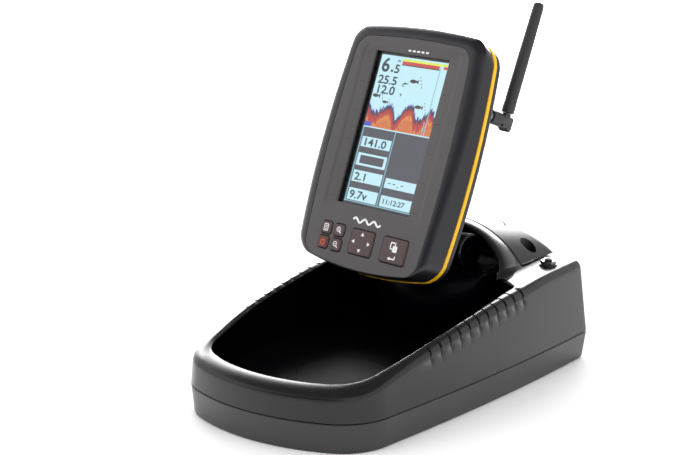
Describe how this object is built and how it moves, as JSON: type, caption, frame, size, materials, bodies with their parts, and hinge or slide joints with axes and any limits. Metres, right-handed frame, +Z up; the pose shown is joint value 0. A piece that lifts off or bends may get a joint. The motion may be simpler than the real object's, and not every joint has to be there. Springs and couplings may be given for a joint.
{
  "type": "fish finder",
  "caption": "Portable fish finder: a colour display handset with keys and a folding whip antenna, on a pan and tilt turret in a tray-shaped base.",
  "frame": {"origin": "centre of the tray's flat underside, on its left-right centre plane; the four rubber pads lie in pockets, level with it", "axes": "+X to the right seen from the front, +Y to the rear, +Z up; the handset leans back and is turned towards -X at rest"},
  "size_m": [0.1788, 0.284, 0.2627],
  "materials": {
    "base_plastic": "satin black moulded plastic",
    "cover_plastic": "satin black moulded plastic",
    "turret_plastic": "satin black moulded plastic",
    "handset_plastic": "fine-grained dark grey plastic",
    "back_plastic": "satin black plastic",
    "face_panel": "dark grey satin plate",
    "seal_yellow": "yellow elastomer",
    "window": "clear hard-coated window",
    "screen": "lit colour display",
    "key_rubber": "dark silicone",
    "mat_rubber": "silicone",
    "steel": "zinc-plated steel",
    "jack_metal": "nickel plated",
    "nylon": "natural nylon",
    "circuit_board": "green solder mask",
    "battery_wrap": "shrink wrap",
    "antenna_rubber": "satin black elastomer",
    "foot_rubber": "matt black"
  },
  "bodies": {
    "base": {"base_lower_tray": "base_plastic", "base_upper_shell": "base_plastic", "vault_cover": "cover_plastic", "vault_screw_left": "steel", "vault_screw_right": "steel", "tray_screw_1": "steel", "tray_screw_2": "steel", "tray_screw_3": "steel", "tray_screw_4": "steel", "foot_1": "foot_rubber", "foot_2": "foot_rubber", "foot_3": "foot_rubber", "foot_4": "foot_rubber", "turret_washer": "nylon", "turret_pivot_screw": "steel", "battery_pack": "battery_wrap", "power_board": "circuit_board", "deck_jack_body": "jack_metal", "deck_jack_nut": "jack_metal", "well_disc": "base_plastic"},
    "turret_assembly": {"turret": "turret_plastic", "tilt_pin": "steel", "tilt_washer_left": "nylon", "tilt_washer_right": "nylon"},
    "handset": {"neck_arm": "turret_plastic", "back_shell": "back_plastic", "front_shell": "handset_plastic", "face_plate": "face_panel", "seal_band": "seal_yellow", "window_lens": "window", "lcd_module": "screen", "main_board": "circuit_board", "keypad_mat": "mat_rubber", "buzzer": "mat_rubber", "handset_screw_1": "steel", "handset_screw_2": "steel", "handset_screw_3": "steel", "handset_screw_4": "steel", "antenna_jack": "jack_metal"},
    "list_key": {"key_list": "key_rubber"},
    "zoom_in_key": {"key_zoom_in": "key_rubber"},
    "power_key": {"key_power": "key_rubber"},
    "zoom_out_key": {"key_zoom_out": "key_rubber"},
    "nav_pad": {"key_nav_pad": "key_rubber"},
    "menu_rocker": {"key_menu_rocker": "key_rubber"},
    "antenna_elbow": {"antenna_sleeve": "antenna_rubber", "antenna_pin": "steel"},
    "antenna_rod": {"antenna_whip": "antenna_rubber"}
  },
  "joints": [
    {"name": "pan", "type": "hinge", "parent": "base", "child": "turret_assembly", "pos_m": [0, 0.0835, 0.022], "axis": [0, 0, 1], "range_deg": [-24, 43]},
    {"name": "tilt", "type": "hinge", "parent": "turret_assembly", "child": "handset", "pos_m": [0, 0.0835, 0.084], "axis": [-0.9863, 0.165, 0], "range_deg": [-2, 25]},
    {"name": "list_press", "type": "slide", "parent": "handset", "child": "list_key", "axis": [0.1545, 0.9232, -0.3518], "range_m": [0, 0.0008], "stiffness_N_per_m": 500},
    {"name": "zoom_in_press", "type": "slide", "parent": "handset", "child": "zoom_in_key", "axis": [0.1545, 0.9232, -0.3518], "range_m": [0, 0.0008], "stiffness_N_per_m": 500},
    {"name": "power_press", "type": "slide", "parent": "handset", "child": "power_key", "axis": [0.1545, 0.9232, -0.3518], "range_m": [0, 0.0008], "stiffness_N_per_m": 500},
    {"name": "zoom_out_press", "type": "slide", "parent": "handset", "child": "zoom_out_key", "axis": [0.1545, 0.9232, -0.3518], "range_m": [0, 0.0008], "stiffness_N_per_m": 500},
    {"name": "nav_press", "type": "slide", "parent": "handset", "child": "nav_pad", "axis": [0.1545, 0.9232, -0.3518], "range_m": [0, 0.0008], "stiffness_N_per_m": 500},
    {"name": "menu_rock", "type": "hinge", "parent": "handset", "child": "menu_rocker", "pos_m": [0.01724, -0.00497, 0.0996], "axis": [0.9863, -0.165, 0], "range_deg": [-3, 3], "stiffness_Nm_per_rad": 0.3},
    {"name": "antenna_swivel", "type": "hinge", "parent": "handset", "child": "antenna_elbow", "pos_m": [0.04609, 0.07111, 0.18541], "axis": [-0.1545, -0.9232, 0.3518], "range_deg": [-180, 180]},
    {"name": "antenna_fold", "type": "hinge", "parent": "antenna_elbow", "child": "antenna_rod", "pos_m": [0.04825, 0.08403, 0.18048], "axis": [0.9835, -0.1777, -0.0343], "range_deg": [-90, 0]}
  ]
}
